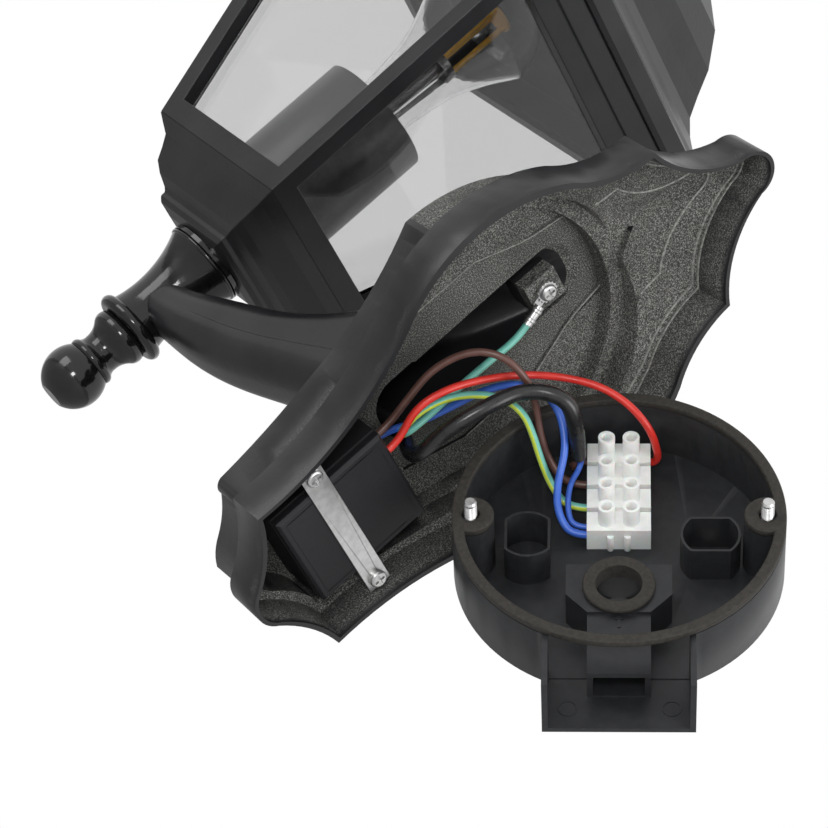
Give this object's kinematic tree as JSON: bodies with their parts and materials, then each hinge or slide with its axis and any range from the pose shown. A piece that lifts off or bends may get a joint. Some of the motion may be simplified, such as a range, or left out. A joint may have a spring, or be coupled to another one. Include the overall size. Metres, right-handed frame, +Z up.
{
  "type": "outdoor wall light",
  "caption": "Black lantern-style outdoor wall light on a horned arm and shield-shaped wall plate, with its round wiring box taken off and hanging on the wires behind it.",
  "frame": {"origin": "centre of the wall plate on the wall plane", "axes": "+Y into the wall, lantern towards -Y, +Z up, +X to the right seen from the front"},
  "size_m": [0.1228, 0.3139, 0.3355],
  "materials": {
    "casting_black": "satin",
    "gloss_black": "gloss",
    "clear_pane": "clear",
    "sleeve_grey": "matt",
    "zinc_steel": "bright zinc",
    "clamp_brass": "plain",
    "cap_metal": "bright",
    "bulb_clear": "clear",
    "filament_yellow": "matt",
    "module_plastic": "matt",
    "box_plastic": "satin",
    "black_rubber": "matt",
    "white_nylon": "translucent",
    "sheath_black": "satin",
    "wire_red": "satin",
    "wire_brown": "satin",
    "wire_blue": "satin",
    "wire_green": "satin with a yellow stripe"
  },
  "bodies": {
    "root": {"wall_bracket": "casting_black", "cage": "casting_black", "roof": "casting_black", "lantern_base": "casting_black", "post": "gloss_black", "ball_finial": "gloss_black", "roof_finial": "gloss_black", "pane_front": "clear_pane", "pane_back": "clear_pane", "pane_left": "clear_pane", "pane_right": "clear_pane", "lamp_sleeve": "sleeve_grey", "lampholder": "sleeve_grey", "module_strap": "zinc_steel", "strap_screws": "zinc_steel", "earth_screw": "zinc_steel", "earth_ring_terminal": "zinc_steel", "box_studs": "zinc_steel", "threaded_tube": "zinc_steel", "tube_nut": "zinc_steel", "terminal_screws": "zinc_steel", "terminal_clamps": "clamp_brass", "bulb_cap": "cap_metal", "bulb_glass": "bulb_clear", "bulb_filament": "filament_yellow", "control_module": "module_plastic", "wall_box": "box_plastic", "rim_gasket": "black_rubber", "cable_grommet": "black_rubber", "terminal_block": "white_nylon", "black_cable": "sheath_black", "red_lead": "wire_red", "brown_lead": "wire_brown", "core_brown": "wire_brown", "blue_lead": "wire_blue", "core_blue": "wire_blue", "earth_lead": "wire_green"}
  },
  "joints": []
}
